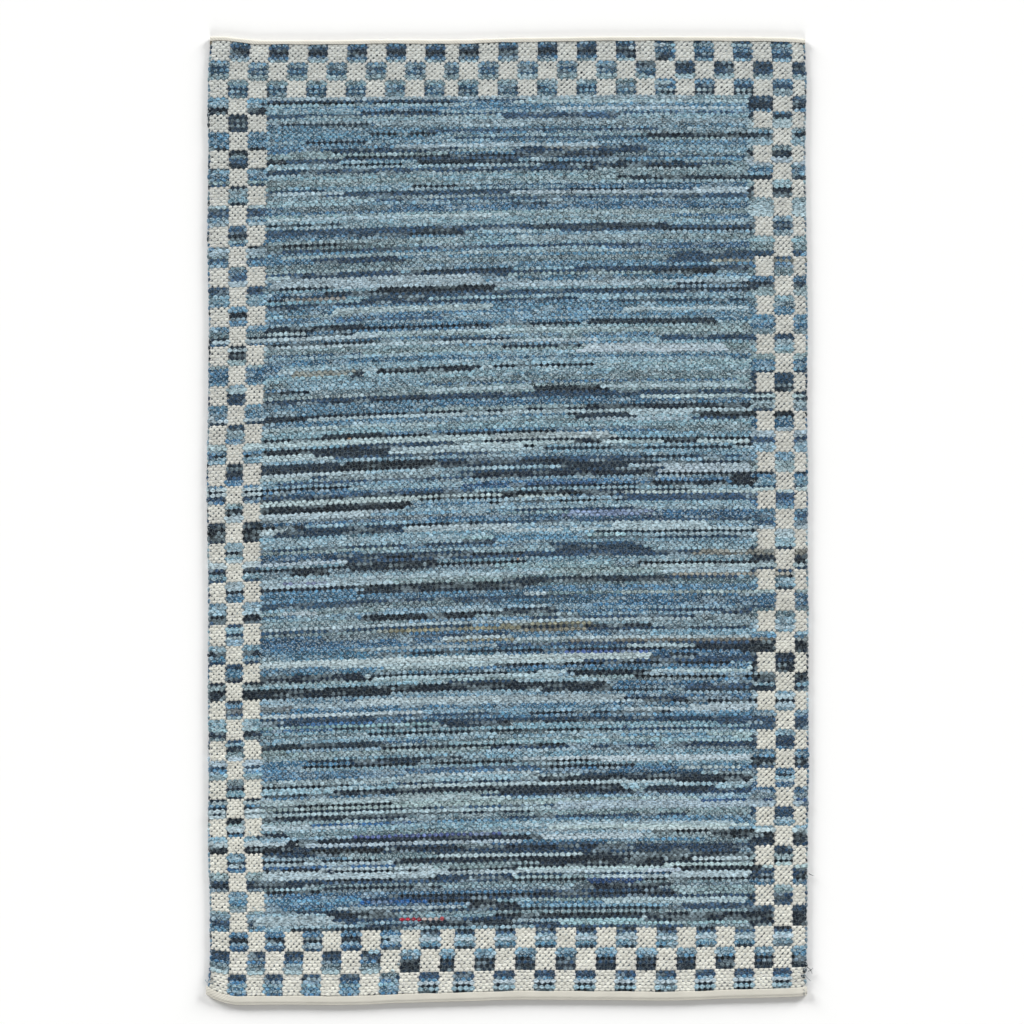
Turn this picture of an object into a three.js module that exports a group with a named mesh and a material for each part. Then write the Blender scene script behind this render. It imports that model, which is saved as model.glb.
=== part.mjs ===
// A flat woven rag rug with a folded cotton tape over each cut end.
// Millimetres, +Z up. The origin is the middle of the underside, +X runs along the picks
// and +Y along the warp, towards the end with the narrow binding.

import * as THREE from 'three';

// Driving dimensions
const RUG_WIDTH = 914;
const RUG_LENGTH = 1524;
const RUG_THICKNESS = 8;
const TAPE_WIDTH = 25;
const TAPE_THICKNESS = 1;
const BOTTOM_LEAF_ON_TOP = 12.5;
const TOP_LEAF_ON_TOP = 7.5;
const TAPE_OVERHANG = 0.8;
const SEAT_GAP = 0.3;
const SHOULDER_RUN = 3;

// How finely the curved forms are faceted
const WIDEST_STATION_GAP = 42;
const MIDDLE_STEPS = 30;
const SELVEDGE_ARC_STEPS = 5;
const NOSE_ARC_STEPS = 4;
const NOSE_TIP_SHARE = 0.6;

const DENIM_BLUE = 0x5a7f9c;
const COTTON_IVORY = 0xdcdacd;

// How far each selvedge stands out from half the width, along the rug.
// y: place along the rug, left and right: outwards is positive.
const SELVEDGES = [
  { y: -762, left: 0.5, right: -3.5 },
  { y: -735, left: -1.5, right: -2.5 },
  { y: -700, left: -4.5, right: -1.5 },
  { y: -610, left: -4, right: -0.5 },
  { y: -500, left: -1, right: 0 },
  { y: -380, left: -1.5, right: 2 },
  { y: -250, left: -0.5, right: 1.5 },
  { y: -130, left: -1, right: 2 },
  { y: -65, left: 0.5, right: 1 },
  { y: 60, left: 2, right: 1.5 },
  { y: 190, left: 0, right: 0.5 },
  { y: 320, left: -0.5, right: 1.5 },
  { y: 440, left: 2, right: 0.5 },
  { y: 570, left: 0.5, right: -1.5 },
  { y: 660, left: 2, right: 0 },
  { y: 720, left: 1.5, right: 1 },
  { y: 762, left: -3, right: -3 },
];

// How far each end stands out from half the length, across the rug.
// x: place across the rug, bottom and top: outwards is positive.
const ENDS = [
  { x: -460, bottom: -14, top: 3.5 },
  { x: -446, bottom: -5, top: 4.6 },
  { x: -430, bottom: 1, top: 4.4 },
  { x: -412, bottom: 4.6, top: 2 },
  { x: -380, bottom: 4.2, top: -1.6 },
  { x: -330, bottom: 3.8, top: -1.4 },
  { x: -265, bottom: 4.6, top: -1.6 },
  { x: -215, bottom: 3.8, top: -0.6 },
  { x: -175, bottom: 1.4, top: 0 },
  { x: -90, bottom: -0.8, top: -0.8 },
  { x: 20, bottom: -4, top: 2.4 },
  { x: 165, bottom: -3.2, top: 4.4 },
  { x: 240, bottom: -2.4, top: 4.6 },
  { x: 365, bottom: -6.4, top: 3.8 },
  { x: 425, bottom: -8, top: 2.8 },
  { x: 446, bottom: -9.2, top: 1.6 },
  { x: 460, bottom: -13, top: -1 },
];

// A value between the rows of a table: straight, or eased so that it never passes a row's value.
function tableValue(rows, keyColumn, valueColumn, key, ease) {
  const next = rows.findIndex((row) => row[keyColumn] > key);
  if (next === 0) return rows[0][valueColumn];
  if (next < 0) return rows[rows.length - 1][valueColumn];
  const before = rows[next - 1];
  const after = rows[next];
  const share = (key - before[keyColumn]) / (after[keyColumn] - before[keyColumn]);
  return THREE.MathUtils.lerp(before[valueColumn], after[valueColumn], ease(share));
}

const straight = (share) => share;
const eased = (share) => share * share * (3 - 2 * share);

// The stations across the rug: the rows of ENDS, with eased ones between rows that lie far apart.
// Every solid has its points at these stations, so neighbours keep an even gap.
function stationsAcross() {
  const stations = [ENDS[0]];
  for (let i = 1; i < ENDS.length; i++) {
    const from = ENDS[i - 1].x;
    const steps = Math.ceil((ENDS[i].x - from) / WIDEST_STATION_GAP);
    for (let step = 1; step <= steps; step++) {
      const x = from + ((ENDS[i].x - from) * step) / steps;
      const bottom = tableValue(ENDS, 'x', 'bottom', x, eased);
      const top = tableValue(ENDS, 'x', 'top', x, eased);
      stations.push({ x, bottom, top });
    }
  }
  return stations;
}

const STATIONS = stationsAcross();
const INNER_STATIONS = STATIONS.slice(1, -1).map((station) => station.x);

const bottomEnd = (x) => -RUG_LENGTH / 2 - tableValue(STATIONS, 'x', 'bottom', x, straight);
const topEnd = (x) => RUG_LENGTH / 2 + tableValue(STATIONS, 'x', 'top', x, straight);
const leftEdge = (y) => -RUG_WIDTH / 2 - tableValue(SELVEDGES, 'y', 'left', y, eased);
const rightEdge = (y) => RUG_WIDTH / 2 + tableValue(SELVEDGES, 'y', 'right', y, eased);

// Rings of equally many points become one skin, with a cap over the first and the last ring.
// "fold" is the ring point at which the ring's two halves meet.
function solidOfRings(name, rings, fold, color, roughness) {
  const size = rings[0].length;
  const index = [];
  for (let r = 0; r < rings.length - 1; r++) {
    for (let i = 0; i < size; i++) {
      const a = r * size + i;
      const b = r * size + ((i + 1) % size);
      index.push(a, b + size, b);
      index.push(a, a + size, b + size);
    }
  }
  addCap(index, 0, size, fold, false);
  addCap(index, (rings.length - 1) * size, size, fold, true);
  const geometry = new THREE.BufferGeometry();
  geometry.setAttribute('position', new THREE.Float32BufferAttribute(rings.flat(2), 3));
  geometry.setIndex(index);
  geometry.computeVertexNormals();
  const mesh = new THREE.Mesh(geometry, new THREE.MeshStandardMaterial({ color, roughness, metalness: 0 }));
  mesh.name = name;
  return mesh;
}

// A cap is a ladder whose rungs join the ring's two halves.
function addCap(index, ringStart, size, fold, isLastRing) {
  const ahead = (step) => ringStart + ((fold + step) % size);
  const behind = (step) => ringStart + ((fold - 1 - step + size) % size);
  for (let step = 0; step < size / 2 - 1; step++) {
    const corners = [ahead(step), ahead(step + 1), behind(step + 1), behind(step)];
    if (!isLastRing) corners.reverse();
    index.push(corners[0], corners[2], corners[1]);
    index.push(corners[0], corners[3], corners[2]);
  }
}

// The body's sections near an end, with their inset from the end of the tape: a rounded nose
// inside the tape, the thin stretch between its leaves, then a shoulder up to full thickness.
function endSections(leafOnTop) {
  const middle = RUG_THICKNESS / 2;
  const wrap = TAPE_THICKNESS + SEAT_GAP;
  const tucked = middle - wrap;
  const sections = [];
  for (let i = 0; i < NOSE_ARC_STEPS; i++) {
    const turn = ((i + NOSE_TIP_SHARE) / NOSE_ARC_STEPS) * (Math.PI / 2);
    const half = tucked * Math.sin(turn);
    sections.push({ inset: wrap + tucked * (1 - Math.cos(turn)), low: middle - half, high: middle + half });
  }
  const topShoulder = leafOnTop + SEAT_GAP;
  const lowShoulder = TAPE_WIDTH - leafOnTop + SEAT_GAP;
  const rise = (inset, shoulder) => wrap * THREE.MathUtils.clamp((inset - shoulder) / SHOULDER_RUN, 0, 1);
  const insets = new Set([topShoulder, lowShoulder].flatMap((edge) => [edge, edge + SHOULDER_RUN]));
  for (const inset of [...insets].sort((a, b) => a - b)) {
    const low = wrap - rise(inset, lowShoulder);
    const high = RUG_THICKNESS - wrap + rise(inset, topShoulder);
    sections.push({ inset, low, high });
  }
  return sections;
}

// One closed section of the body: along the underside, round the right selvedge, back over the top
// and round the left selvedge. placeY gives the section's y at each x.
function bodyRing(placeY, low, high) {
  const radius = (high - low) / 2;
  const left = leftEdge(placeY(-RUG_WIDTH / 2));
  const right = rightEdge(placeY(RUG_WIDTH / 2));
  const acrossX = [left + radius, ...INNER_STATIONS, right - radius];
  const ring = [];
  const addPoint = (x, z) => ring.push([x, placeY(x), z]);
  const addSelvedge = (edge, side, startTurn) => {
    for (let i = 1; i < SELVEDGE_ARC_STEPS; i++) {
      const turn = startTurn + (Math.PI * i) / SELVEDGE_ARC_STEPS;
      addPoint(edge - side * radius + radius * Math.cos(turn), low + radius * (1 + Math.sin(turn)));
    }
  };
  acrossX.forEach((x) => addPoint(x, low));
  addSelvedge(right, 1, -Math.PI / 2);
  acrossX.reverse().forEach((x) => addPoint(x, high));
  addSelvedge(left, -1, Math.PI / 2);
  return ring;
}

function wovenBody() {
  const bottomSections = endSections(BOTTOM_LEAF_ON_TOP);
  const topSections = endSections(TOP_LEAF_ON_TOP);
  const bottomInset = bottomSections[bottomSections.length - 1].inset;
  const topInset = topSections[topSections.length - 1].inset;
  const rings = [];
  for (const { inset, low, high } of bottomSections) {
    rings.push(bodyRing((x) => bottomEnd(x) + inset, low, high));
  }
  for (let step = 1; step < MIDDLE_STEPS; step++) {
    const share = step / MIDDLE_STEPS;
    const placeY = (x) => THREE.MathUtils.lerp(bottomEnd(x) + bottomInset, topEnd(x) - topInset, share);
    rings.push(bodyRing(placeY, 0, RUG_THICKNESS));
  }
  for (const { inset, low, high } of topSections.reverse()) {
    rings.push(bodyRing((x) => topEnd(x) - inset, low, high));
  }
  const middleOfLeftArc = rings[0].length - Math.floor(SELVEDGE_ARC_STEPS / 2);
  return solidOfRings('rug_body', rings, middleOfLeftArc, DENIM_BLUE, 0.92);
}

// The folded tape's section across the end: over the top leaf and round the nose to the leaf
// below, then back the same way inside. "inwards" is measured from the end of the tape.
function tapeSection(leafOnTop) {
  const leafBelow = TAPE_WIDTH - leafOnTop;
  const middle = RUG_THICKNESS / 2;
  const section = [];
  const addNose = (radius, turnSign) => {
    for (let i = 0; i <= 2 * NOSE_ARC_STEPS; i++) {
      const turn = turnSign * (Math.PI / 2 - (Math.PI * i) / (2 * NOSE_ARC_STEPS));
      section.push({ inwards: middle - radius * Math.cos(turn), z: middle + radius * Math.sin(turn) });
    }
  };
  section.push({ inwards: leafOnTop, z: RUG_THICKNESS });
  addNose(middle, 1);
  section.push({ inwards: leafBelow, z: 0 });
  section.push({ inwards: leafBelow, z: TAPE_THICKNESS });
  addNose(middle - TAPE_THICKNESS, -1);
  section.push({ inwards: leafOnTop, z: RUG_THICKNESS - TAPE_THICKNESS });
  return section;
}

function binding(name, endLine, inwardSign, leafOnTop) {
  const section = tapeSection(leafOnTop);
  const left = leftEdge(endLine(-RUG_WIDTH / 2)) - TAPE_OVERHANG;
  const right = rightEdge(endLine(RUG_WIDTH / 2)) + TAPE_OVERHANG;
  const acrossX = [left, ...INNER_STATIONS, right];
  if (inwardSign > 0) acrossX.reverse();
  const ringAt = (x) => section.map(({ inwards, z }) => [x, endLine(x) + inwardSign * inwards, z]);
  const rings = acrossX.map(ringAt);
  return solidOfRings(name, rings, 0, COTTON_IVORY, 0.9);
}

const rug = new THREE.Group();
rug.add(wovenBody());
rug.add(binding('binding_bottom', bottomEnd, 1, BOTTOM_LEAF_ON_TOP));
rug.add(binding('binding_top', topEnd, -1, TOP_LEAF_ON_TOP));

export default rug;
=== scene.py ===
import math

import bpy
import numpy as np
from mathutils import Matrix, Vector


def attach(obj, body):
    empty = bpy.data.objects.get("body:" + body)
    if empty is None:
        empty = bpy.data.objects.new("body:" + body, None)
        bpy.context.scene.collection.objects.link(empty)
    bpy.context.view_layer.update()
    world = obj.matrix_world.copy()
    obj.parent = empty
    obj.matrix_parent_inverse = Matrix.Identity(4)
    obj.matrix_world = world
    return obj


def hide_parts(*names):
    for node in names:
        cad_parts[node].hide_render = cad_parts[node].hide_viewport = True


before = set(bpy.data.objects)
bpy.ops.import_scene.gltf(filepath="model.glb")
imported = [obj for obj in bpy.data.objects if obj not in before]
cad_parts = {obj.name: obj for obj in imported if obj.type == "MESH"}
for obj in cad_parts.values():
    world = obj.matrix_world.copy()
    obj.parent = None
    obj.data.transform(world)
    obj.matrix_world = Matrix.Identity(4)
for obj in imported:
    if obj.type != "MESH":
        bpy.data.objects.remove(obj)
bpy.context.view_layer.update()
chance = np.random.default_rng(2207)
mm = 0.001
ridesOn = "root"
rugWidth = 914  # mm from selvedge to selvedge
rugLength = 1532  # mm from fold to fold of the bound ends

# the weave, counted on the rug, with sizes in millimetres
weave = {
    "picks": 343,  # lines of weft between the tapes
    "checkPicks": 7,
    "columnWarps": (*[7] * 12, 5, *[7] * 17, 5),  # two columns of checks are narrower
    "checksAlong": 49,
    "borderChecks": 3,
    "thickness": 8.0,
    "endPicks": 14,  # how many picks follow the shape of a bound end before they run straight
    "corner": 412,  # from here to the selvedge a bound end bends away from its chord
    # share of the length, and the mm that the picks climb there
    "wanderLeft": ((0, 0), (0.02, 5), (0.041, 8.7), (0.061, 8.4), (0.102, 10), (0.143, 7.6), (0.17, 2),
                   (0.25, 0), (0.293, 4), (0.329, -1), (0.368, -4), (0.42, 4), (0.474, 4.3), (0.496, 6.5),
                   (0.514, 4.2), (0.534, 2.1), (0.557, 8), (0.577, 6), (0.66, 8), (0.75, 10), (0.783, 13),
                   (0.825, 17), (0.91, 9), (0.94, 3), (0.96, 1), (0.98, 0), (1, 0)),
    "wanderRight": ((0, 0), (0.02, 3), (0.041, 5), (0.061, 6.5), (0.09, 10), (0.17, 12), (0.34, 9),
                    (0.42, 18), (0.5, 23), (0.52, 20), (0.55, 21), (0.58, 25), (0.66, 24), (0.745, 25),
                    (0.77, 27), (0.79, 29), (0.83, 26), (0.91, 14), (0.94, 5), (0.96, 1), (0.98, -2), (1, 0)),
    "stillEnd": 0.03,  # the share of the length over which the picks come to rest at each end
    "bow": 7.5,  # mm the middle of a pick lies beyond its ends, half way up the rug
    "wobble": 0.55,
    "wobbleReach": (47, 21, 11),
    "wobbleDrift": 0.5,  # how far the wobble moves on from pick to pick
}

# how the frame's solids are read, in mm: what counts as mid-height, as a flat face and as one station along an
# edge, and how far from the middle a selvedge begins
reading = {"midHeight": 1.3, "face": 0.2, "station": 0.06, "selvedge": 440}

print("outline of the rug")


def linear(hexColour):  # sRGB hex to the linear numbers that sockets and attributes hold
    srgb = np.array([int(hexColour[i:i + 2], 16) for i in (0, 2, 4)]) / 255
    return np.where(srgb <= 0.04045, srgb / 12.92, ((srgb + 0.055) / 1.055) ** 2.4)


def pointsOf(node):  # a node's corners in mm
    return np.array([corner.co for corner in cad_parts[node].data.vertices]) / mm


def selvedgeLine(side):  # y and x along the rug's left (-1) or right (1) edge
    body = pointsOf("rug_body")
    midHeight = np.abs(body[:, 2] - weave["thickness"] / 2) < reading["midHeight"]
    edge = body[midHeight & (body[:, 0] * side > reading["selvedge"])]
    ys = np.unique(edge[:, 1].round(1))
    xs = [side * (side * edge[np.abs(edge[:, 1] - y) < reading["station"], 0]).max() for y in ys]
    return ys, np.array(xs)


def tapeLines(node, side):  # x stations, then y of the fold and of the inner edges on top and underneath
    tape = pointsOf(node)
    xs = np.unique(tape[:, 0].round(1))
    lines = []
    for x in xs:
        section = tape[np.abs(tape[:, 0] - x) < reading["station"]]
        outward = side * section[:, 1]
        onTop = section[:, 2] > weave["thickness"] - reading["face"]
        under = section[:, 2] < reading["face"]
        lines.append((side * outward.max(), side * outward[onTop].min(), side * outward[under].min()))
    return (xs, *np.array(lines).T)


leftEdge = selvedgeLine(-1)
rightEdge = selvedgeLine(1)
columnStarts = np.concatenate(([0], np.cumsum(weave["columnWarps"])))
weave["warps"] = int(columnStarts[-1])
# how far the warps stray sideways: stations across the rug, and a row of mm for each share of its length
warpDrift = {
    "across": (0, 0.033, 0.066, 0.099, 0.23, 0.394, 0.58, 0.78, 0.911, 0.944, 0.977, 1),
    "along": (0.06, 0.31, 0.526, 0.785, 0.98),
    "mm": ((0, 1.1, -1.5, -4.7, -8.8, -7.8, -2.6, 2.1, 0.8, 0, -2.3, 0),
           (0, -3, -7.2, -10.5, -9, -6, -2, 0, 3, 1, 0, 0),
           (0, -1.5, -5.3, -8.4, -7, -5, 0, 0, 4.6, 2, 0.5, 0),
           (0, 2.7, 0.5, -0.9, 0, 0, 0, 0, 2.3, 0.8, 0, 0),
           (0, 1.5, 1.8, 1.5, 1.4, 1, 1.5, 1.5, 0, 0, 0, 0)),
}
tapeShapes = {"binding_bottom": tapeLines("binding_bottom", -1), "binding_top": tapeLines("binding_top", 1)}


def flatX(share):  # mm from the middle, were the selvedges straight
    return share * rugWidth - rugWidth / 2


def flatShare(x):
    return (x + rugWidth / 2) / rugWidth


def across(share, y, inset=0.0):  # x in mm at a share of the rug's width
    left = np.interp(y, *leftEdge) + inset
    right = np.interp(y, *rightEdge) - inset
    along = (y + rugLength / 2) / rugLength
    drift = 0
    for index, row in enumerate(warpDrift["mm"]):
        nearness = np.interp(along, warpDrift["along"], np.eye(len(warpDrift["along"]))[index])
        drift = drift + nearness * np.interp(share, warpDrift["across"], row)
    return left + share * (right - left) + drift


def shareAt(x, y, steps=400):  # the share of the width where a warp crosses x mm at y mm
    shares = np.linspace(0, 1, steps)
    return np.interp(x, across(shares, y), shares)


def columnOf(warp):
    return np.searchsorted(columnStarts, warp, side="right") - 1


def tapeEdge(node, x):  # y in mm where the leaf on top ends
    xs, _, onTop, _ = tapeShapes[node]
    return np.interp(x, xs, onTop)


wobbleSteps = (weave["picks"] + 1, len(weave["wobbleReach"]))
wobblePhase = np.cumsum(chance.normal(0, weave["wobbleDrift"], wobbleSteps), axis=0)


def straightEnd(node, x):  # the end's chord, between its corners
    corners = np.array((-weave["corner"], weave["corner"]))
    return np.interp(x, corners, tapeEdge(node, corners))


def pickLine(pick, x):  # y in mm of a pick, which may be a fraction, at x mm
    share = pick / weave["picks"]
    lowFade = np.exp(-pick / weave["endPicks"])
    highFade = np.exp((pick - weave["picks"]) / weave["endPicks"])
    low = straightEnd("binding_bottom", x)
    high = straightEnd("binding_top", x)
    low = low + (tapeEdge("binding_bottom", x) - low) * lowFade
    high = high + (tapeEdge("binding_top", x) - high) * highFade
    sideways = flatShare(x)
    leftClimb = np.interp(share, *zip(*weave["wanderLeft"]))
    rightClimb = np.interp(share, *zip(*weave["wanderRight"]))
    ends = np.clip(np.minimum(share, 1 - share) / weave["stillEnd"], 0, 1)
    climb = (leftClimb * (1 - sideways) + rightClimb * sideways) * ends
    bow = weave["bow"] * np.sin(np.pi * sideways) * np.sin(np.pi * share)
    phase = wobblePhase[np.clip(np.asarray(pick).astype(int), 0, weave["picks"])]
    waves = [np.sin(x / reach + phase[..., i]) for i, reach in enumerate(weave["wobbleReach"])]
    wobble = weave["wobble"] * sum(waves) / len(waves)
    return low + share * (high - low) + climb + bow + wobble * ends


def isIvory(warp, pick):  # the checks: ivory where column and row add up to an even number, three deep
    column = columnOf(warp)
    row = pick // weave["checkPicks"]
    deep = weave["borderChecks"]
    inBorder = (column < deep) | (column >= len(weave["columnWarps"]) - deep)
    inBorder |= (row < deep) | (row >= weave["checksAlong"] - deep)
    return inBorder & ((column + row) % 2 == 0)


print("strips of old denim, laid pick by pick")
# each wash is a family of jeans: its hexes run from its palest cloth to its darkest, but for the odd strips;
# then how full its lumps are, how far they spread along the pick, how much of the cloth's paler back shows at
# their feet, how uneven their tone is, and how much white yarn shows on them
washes = {
    "pale_wash": {"hexes": ("bccdd3", "a9bec6", "97adb8"), "fullness": 1.12, "spread": 1.06, "edge": 0.0,
                  "uneven": 0.18, "frayed": 0.45},
    "light_wash": {"hexes": ("86a5b1", "7396a7", "63889e"), "fullness": 1.06, "spread": 1.04, "edge": 0.0,
                   "uneven": 0.26, "frayed": 0.5},
    "mid_wash": {"hexes": ("58829d", "416d8c", "345b7c"), "fullness": 1.0, "spread": 0.98, "edge": 0.1,
                 "uneven": 0.3, "frayed": 0.42},
    "grey_wash": {"hexes": ("839a9f", "6a828b", "536b77"), "fullness": 1.02, "spread": 1.0, "edge": 0.1,
                  "uneven": 0.3, "frayed": 0.48},
    "indigo": {"hexes": ("304b68", "233c56", "1a2f45"), "fullness": 0.98, "spread": 0.84, "edge": 0.32,
               "uneven": 0.32, "frayed": 0.12},
    "raw_navy": {"hexes": ("1c2a39", "131e2b", "0c131c"), "fullness": 0.98, "spread": 0.8, "edge": 0.36,
                 "uneven": 0.32, "frayed": 0.07},
    "odd_strips": {"hexes": ("8a8881", "8f8b78", "7b9da7", "41618a", "8494b0"), "fullness": 1.0,
                   "spread": 0.95, "edge": 0.1, "uneven": 0.17, "frayed": 0.2},
}
washNames = list(washes)

# how often each wash turns up, from the near end of the rug to the far end
washShares = {
    0.00: (0.17, 0.25, 0.18, 0.17, 0.15, 0.07, 0.01),
    0.30: (0.17, 0.26, 0.18, 0.18, 0.14, 0.06, 0.01),
    0.55: (0.15, 0.28, 0.18, 0.20, 0.14, 0.04, 0.01),
    0.75: (0.07, 0.30, 0.24, 0.24, 0.14, 0.01, 0.00),
    1.00: (0.04, 0.29, 0.26, 0.25, 0.15, 0.01, 0.00),
}

borderShares = (0.12, 0.19, 0.21, 0.12, 0.20, 0.16, 0.0)

stripLaw = {
    "shortest": 110,
    "longest": 1900,
    "typical": 390,  # mm, most come from a trouser leg
    "spread": 0.75,
    "driftEvery": 30,  # mm between changes in how worn the cloth is
    "drift": 0.11,
    "hueDrift": 0.018,
    "toneDrift": 0.08,
    "bulkDrift": 0.05,
    "reverseShare": 0.22,  # part of a strip that shows its paler back
    "reverse": (0.2, 0.6),  # and how much of it shows there
    "reverseHex": "9cb0b8",
    "edgeHex": "a3b6be",
    "fadeFrom": (0.35, 1.0),  # from here to the far end the strips grow more alike
    "faded": (0.92, 0.72),
    "brighter": ((0, 0.15, 0.4), (1.2, 1.12, 1.05)),  # shares of the length, and how much brighter strips are
    "fadeHex": "6a8594",
    "runsOn": 0.8,  # how many strips that reach the border go on through it
    "borderPicks": (1, 4),  # a strip of the border fills one to three picks
    "borderTurn": 60,  # warps either side of the middle where a strip of an end border stops
    "chartTurn": 9,  # warps either side of the turn where the left chart of an end border stops
    "raggedWarps": 2,  # how far the rows of a strip differ at its ends
    "raggedFrom": 30,  # pixels long, and longer
    "rowTone": 0.15,  # how much the rows of a strip differ in tone
}


def wearAlong(count):  # how the tone of a strip drifts from warp to warp
    step = rugWidth / weave["warps"]
    knots = max(int(count * step / stripLaw["driftEvery"]) + 2, 3)
    tone = chance.normal(0, stripLaw["drift"], knots)
    back = (chance.random(knots) < stripLaw["reverseShare"]) * chance.uniform(*stripLaw["reverse"], knots)
    at = np.linspace(0, knots - 1, count)
    return np.exp(np.interp(at, np.arange(knots), tone)), back[np.round(at).astype(int)]


def washColour(name):
    hexes = washes[name]["hexes"]
    spot = chance.uniform(0, len(hexes) - 1)
    low, high = linear(hexes[int(spot)]), linear(hexes[int(spot) + 1])
    mixed = low + (high - low) * (spot % 1)
    if name == "odd_strips":
        mixed = linear(hexes[int(chance.integers(len(hexes)))])
    return mixed * chance.normal(1, stripLaw["hueDrift"], 3) * chance.normal(1, stripLaw["toneDrift"])


washOf = np.zeros((weave["picks"], weave["warps"]), int)
colourOf = np.zeros((weave["picks"], weave["warps"], 3))
bulkOf = np.ones((weave["picks"], weave["warps"]))


def fillStrip(places, name, base):  # dresses a run of cells, given as rows and columns, in one strip
    tone, back = wearAlong(len(places[0]))
    reverse = linear(stripLaw["reverseHex"])
    toned = base * tone[:, None]
    toned = toned + (reverse - toned) * back[:, None]
    alike = np.interp(places[0] / weave["picks"], stripLaw["fadeFrom"], stripLaw["faded"])[:, None]
    toned = linear(stripLaw["fadeHex"]) ** (1 - alike) * toned ** alike
    colourOf[places] = toned * np.interp(places[0] / weave["picks"], *stripLaw["brighter"])[:, None]
    washOf[places] = washNames.index(name)
    bulkOf[places] = washes[name]["fullness"] * chance.normal(1, stripLaw["bulkDrift"])


def pickWash(shares):
    return washNames[chance.choice(len(washNames), p=np.array(shares) / np.sum(shares))]


def layStrips():
    picks, warps = weave["picks"], weave["warps"]
    zones = np.array(list(washShares))
    shares = np.array(list(washShares.values()))
    place = 0
    while place < picks * warps:
        length = stripLaw["typical"] * math.exp(chance.normal(0, stripLaw["spread"]))
        length = min(max(length, stripLaw["shortest"]), stripLaw["longest"])
        end = min(place + max(int(length / rugWidth * warps), 1), picks * warps)
        rows, steps = np.divmod(np.arange(place, end), warps)
        columns = np.where(rows % 2 == 0, steps, warps - 1 - steps)
        name = pickWash([np.interp(rows[0] / picks, zones, shares[:, i]) for i in range(len(washNames))])
        fillStrip((rows, columns), name, washColour(name))
        place = end


def layBorderStrips():  # runs of one to three picks, in the checks at both sides and both ends
    picks, warps = weave["picks"], weave["warps"]
    deep = weave["borderChecks"] * weave["checkPicks"]  # picks at an end, and warps at a side
    turn = stripLaw["borderTurn"]
    for side in ("left", "right"):
        row = 0
        while row < picks:
            inEnd = row < deep or row >= picks - deep
            until = warps // 2 + int(chance.integers(-turn, turn)) if inEnd else deep
            columns = np.arange(0, until) if side == "left" else np.arange(warps - until, warps)
            name = pickWash(borderShares)
            base = washColour(name)
            after = min(row + int(chance.integers(*stripLaw["borderPicks"])), picks)
            for line in range(row, after):
                fillStrip((np.full(len(columns), line), columns), name, base)
            row = after


# the picks of the two end borders, read off the photograph from the field outward: a letter for a wash
endBorders = {
    "near": {"left": "mmrrlmi" "riimggp" "iimlmlm", "right": "rilplmr" "llmrirr" "iimprlr"},
    "far": {"left": "gimimgg" "ggimigm" "gmirrim", "right": "grgiimm" "pgiiiri" "liimmli"},
}
borderLetters = {"p": "pale_wash", "l": "light_wash", "m": "mid_wash", "g": "grey_wash", "i": "indigo",
                 "r": "raw_navy"}
borderTurns = {"near": 0.32, "far": 0.74}  # the share of the width where the right chart takes over


def layEndBorders():
    for end, halves in endBorders.items():
        turn = int(borderTurns[end] * weave["warps"])
        for half, letters in halves.items():
            for step, letter in enumerate(letters):
                deep = len(letters) - 1 - step
                row = deep if end == "near" else weave["picks"] - 1 - deep
                change = turn + int(chance.integers(-stripLaw["chartTurn"], stripLaw["chartTurn"] + 1))
                columns = np.arange(0, change) if half == "left" else np.arange(change, weave["warps"])
                name = borderLetters[letter]
                fillStrip((np.full(len(columns), row), columns), name, washColour(name))


layStrips()
layBorderStrips()
layEndBorders()

# where the rug lies in the photograph, in its pixels: its middle, and the sides of its field and of the rug
photoFrame = {"middle": (507.5, 519.5), "mmPerPixel": (1.5233, 1.586), "field": (263, 755), "rug": (206, 809)}
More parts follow.
